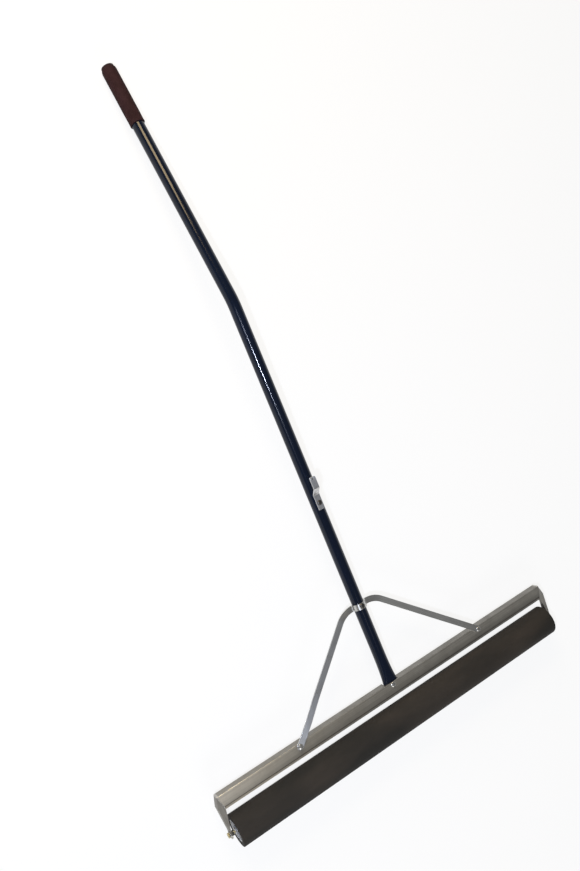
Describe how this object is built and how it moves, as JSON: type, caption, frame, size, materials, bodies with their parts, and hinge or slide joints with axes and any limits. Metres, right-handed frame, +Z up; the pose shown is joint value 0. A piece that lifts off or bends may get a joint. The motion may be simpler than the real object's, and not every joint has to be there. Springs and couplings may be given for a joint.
{
  "type": "roller squeegee",
  "caption": "Floor roller squeegee: foam sleeve roller in an aluminium end-arm frame, bent tube handle with vinyl grip, bow brace and hanger hook.",
  "frame": {"origin": "on the floor under the middle of the tool's box, as the tool lies on its roller and the end of its grip, front side up", "axes": "+X along the roller towards its right end, +Y over the floor from the roller towards the grip, +Z up"},
  "size_m": [0.9522, 1.6476, 0.1289],
  "materials": {
    "sponge_rubber": "closed-cell sponge rubber, charcoal, matt",
    "core_plastic": "extruded plastic tube, pale grey",
    "plug_plastic": "moulded plastic, light grey",
    "bush_plastic": "natural bearing plastic",
    "mill_aluminium": "mill finish, dulled by handling",
    "zinc_steel": "zinc-plated steel hardware",
    "navy_powder_coat": "gloss powder coat, very dark navy, on steel tube",
    "dipped_vinyl": "dipped vinyl, brown-black, satin"
  },
  "bodies": {
    "frame": {"axle_bolt_left": "zinc_steel", "axle_bolt_right": "zinc_steel", "axle_nut_left": "zinc_steel", "axle_nut_right": "zinc_steel", "axle_washer_left": "zinc_steel", "axle_washer_right": "zinc_steel", "bow_brace": "mill_aluminium", "brace_left_bolt": "zinc_steel", "brace_left_nut": "zinc_steel", "brace_right_bolt": "zinc_steel", "brace_right_nut": "zinc_steel", "collar_bolt": "zinc_steel", "collar_nut": "zinc_steel", "collar_washer": "zinc_steel", "end_arm_left": "mill_aluminium", "end_arm_right": "mill_aluminium", "frame_rail": "mill_aluminium", "grip": "dipped_vinyl", "handle_bolt": "zinc_steel", "handle_nut": "zinc_steel", "handle_tube": "navy_powder_coat", "handle_washer": "zinc_steel", "hanger_hook": "mill_aluminium", "hook_screw": "zinc_steel"},
    "roller": {"axle_bush_left": "bush_plastic", "axle_bush_right": "bush_plastic", "end_plug_left": "plug_plastic", "end_plug_right": "plug_plastic", "roller_core": "core_plastic", "roller_sleeve": "sponge_rubber"}
  },
  "joints": [
    {"name": "roller_spin", "type": "hinge", "parent": "frame", "child": "roller", "pos_m": [0, -0.78732, 0.0365], "axis": [1, 0, 0], "continuous": true}
  ]
}
